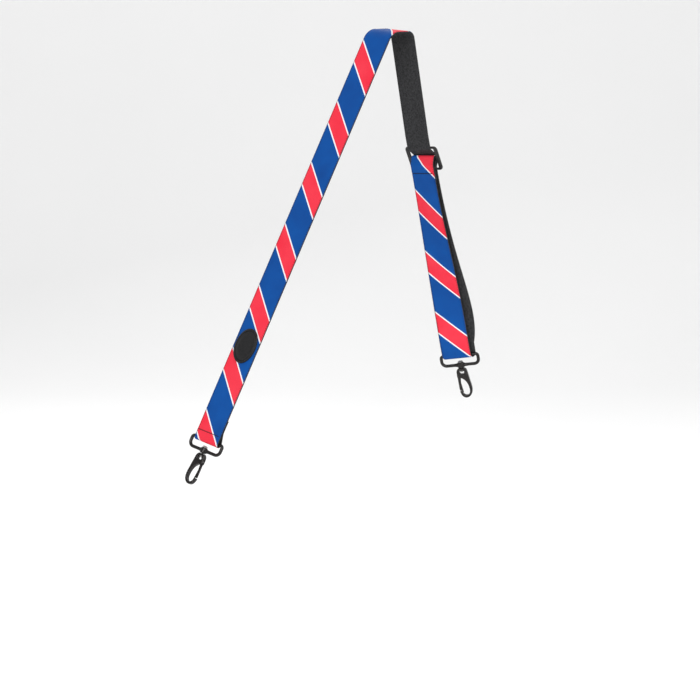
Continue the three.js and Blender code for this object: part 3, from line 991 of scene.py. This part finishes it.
def quad(points, control, end, count=8):
    """Adds a quadratic curve from the last point."""
    x0, y0 = points[-1]
    for i in range(1, count + 1):
        t = i / count
        a, b, c = (1 - t) ** 2, 2 * t * (1 - t), t * t
        points.append((a * x0 + b * control[0] + c * end[0], a * y0 + b * control[1] + c * end[1]))


def hook_outline():
    s = [(-3.4, 0), (3.4, 0)]
    quad(s, (6.2, 1), (6.8, 5))
    s.append((9, 21.5))
    quad(s, (10.8, 31.5), (7.6, 36))
    quad(s, (4.8, 39.8), (0.8, 39.8))
    quad(s, (-5, 39.4), (-6.6, 30.6))
    s.append((-4.1, 30.2))
    quad(s, (-3.3, 35.4), (0, CLAW_DEPTH))
    s.append((3, CLAW_DEPTH))
    quad(s, (6.8, 34.4), (6.5, 28.4))
    quad(s, (5.8, 17.4), (-1.6, 13.4))
    s += [(-7, 12.4), (-7, 6)]
    quad(s, (-6.6, 1), (-3.4, 0))
    return s[:-1]


def gate_outline():
    s = arc_points(GATE_PIVOT, 2.1, 0, -math.pi, 12)
    s += [(-6.9, 21), (-6.8, 29.7), (-3.6, 29.7), (-3.4, 32.6), (-2, 32.1), (-2.7, 27.4), (-3.6, 20)]
    return s


class Holder:
    """A hook's own frame, from its joints: X across the strap towards the spine, Y down, Z = X x Y."""

    def __init__(self, side):
        joints = {j["name"]: j for j in frame["joints"]}
        pivot = joints[side + "_loop_pivot"]
        swivel = joints[side + "_hook_swivel"]
        self.origin = Vector(pivot["pos_m"]) / MM
        self.x = Vector(pivot["axis"]).normalized()
        self.y = square_to(Vector(swivel["axis"]), self.x)
        self.z = self.x.cross(self.y)

    def point(self, x, y, z=0.0):
        return self.origin + self.x * x + self.y * y + self.z * z

    def matrix(self, down=0.0, lift=0.0):
        return basis(self.x, self.y, self.z, self.point(0, down, lift))


LOOP_SIDES = 20


def loop_wire(holder):
    """The loop's round wire, bent to a rounded rectangle."""
    reach = LOOP_INNER_HALF + LOOP_WIRE / 2
    line = rounded_rectangle(-reach, reach, 0, LOOP_BARS, 3.0, 6.0)
    rings = []
    count = len(line)
    for i in range(count):
        before, after = Vector(line[i - 1]), Vector(line[(i + 1) % count])
        way = (after - before).normalized()
        out = Vector((way.y, -way.x))
        x, y = line[i]
        ring = []
        for k in range(LOOP_SIDES):
            angle = 2 * math.pi * k / LOOP_SIDES
            r = LOOP_WIRE / 2
            side = r * math.cos(angle)
            ring.append(holder.point(x + out.x * side, y + out.y * side, r * math.sin(angle)))
        rings.append(ring)
    return swept(rings, closed=True)


def add_loop(side, holder, metal):
    half = BOSS_HEIGHT / 2
    boss = lathe(
        [
            (-half, 2.6),
            (-half, 3.4),
            (-half + 0.7, BOSS_RADIUS),
            (half - 0.7, BOSS_RADIUS),
            (half, 3.4),
            (half, 2.6),
        ],
        holder.point(0, LOOP_BARS), holder.y,
    )
    swell = lathe(
        [(-10, 1.6), (-9, 2.1), (-6, 2.3), (-3.6, 3.0), (0, 3.4), (3.6, 3.0), (6, 2.3), (9, 2.1), (10, 1.6)],
        holder.point(0, LOOP_BARS), holder.x,
    )
    vertices, faces = joined([loop_wire(holder), boss, swell])
    loop = cast(put(side + "_cast_loop", vertices, faces, metal), 0.4, 5)
    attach(loop, side + "_loop")
    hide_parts(side + "_loop")


def slot_cutter(holder):
    """The slot in the hook's body in which the gate turns."""
    low, high = (-11.0, 6.7), (-1.9, 15.2)
    half = GATE_SLOT / 2
    corners = (low, (high[0], low[1]), high, (low[0], high[1]))
    rings = [
        [holder.point(x, HOOK_TOP + y, z) for x, y in corners]
        for z in (-half, half)
    ]
    vertices, faces = swept(rings)
    return put("cutter", vertices, faces, None)


def add_hook(side, holder, metal):
    window = rounded_rectangle(
        -WINDOW_HALF, WINDOW_HALF, HOOK_CROWN, HOOK_CROWN + WINDOW_HEIGHT, 0.9, 0.9,
    )
    body = holder.matrix(HOOK_TOP)
    hook = plate(side + "_cast_hook", [hook_outline(), window], HOOK_THICK, 1.15, metal, body)
    cast(hook, 0.3, 6)
    cut(hook, slot_cutter(holder))
    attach(hook, side + "_hook")
    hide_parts(side + "_hook")
    lift = GAP + (GATE_THICK - GATE_SLOT) / 2
    leaf = holder.matrix(HOOK_TOP, lift)
    gate = plate(side + "_sprung_gate", [gate_outline()], GATE_THICK, 0.35, metal, leaf)
    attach(gate, side + "_gate")
    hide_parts(side + "_gate")


def add_hooks():
    metal, steel = cast_metal_material(), steel_material()
    for side in ("left", "right"):
        holder = Holder(side)
        add_loop(side, holder, metal)
        add_hook(side, holder, metal)
        for node in ("_swivel_post", "_gate_spring", "_gate_pin"):
            mesh = frame["nodes"][side + node].data
            mesh.materials.clear()
            mesh.materials.append(steel)
            mesh.polygons.foreach_set("use_smooth", [True] * len(mesh.polygons))
            mesh.set_sharp_from_angle(angle=rad(40))


# The studio's floor ----------------------------------------------------------------------------------


def add_floor():
    """A pale floor that curves up into a wall far behind the strap."""
    low = cad_box[0].z - FLOOR_DROP
    wall, radius, half = 3.2, 1.2, 7.0
    line = [(-6.0, low), (wall - radius, low)]
    for k in range(1, 17):
        angle = math.pi / 2 * k / 16
        line.append((wall - radius + radius * math.sin(angle), low + radius * (1 - math.cos(angle))))
    line.append((wall, low + 6))
    away = Quaternion(Vector((0, 0, 1)), CAMERA_AZIMUTH)
    vertices = [
        away @ Vector((side * half, y, z)) / MM
        for y, z in line
        for side in (-1, 1)
    ]
    faces = [(2 * i, 2 * i + 1, 2 * i + 3, 2 * i + 2) for i in range(len(line) - 1)]
    put("studio_floor", vertices, faces, studio_material(), sharp=80)


add_camera()
add_studio()
add_strap()
add_patch()
add_slider()
add_hooks()
add_floor()

bpy.context.view_layer.update()
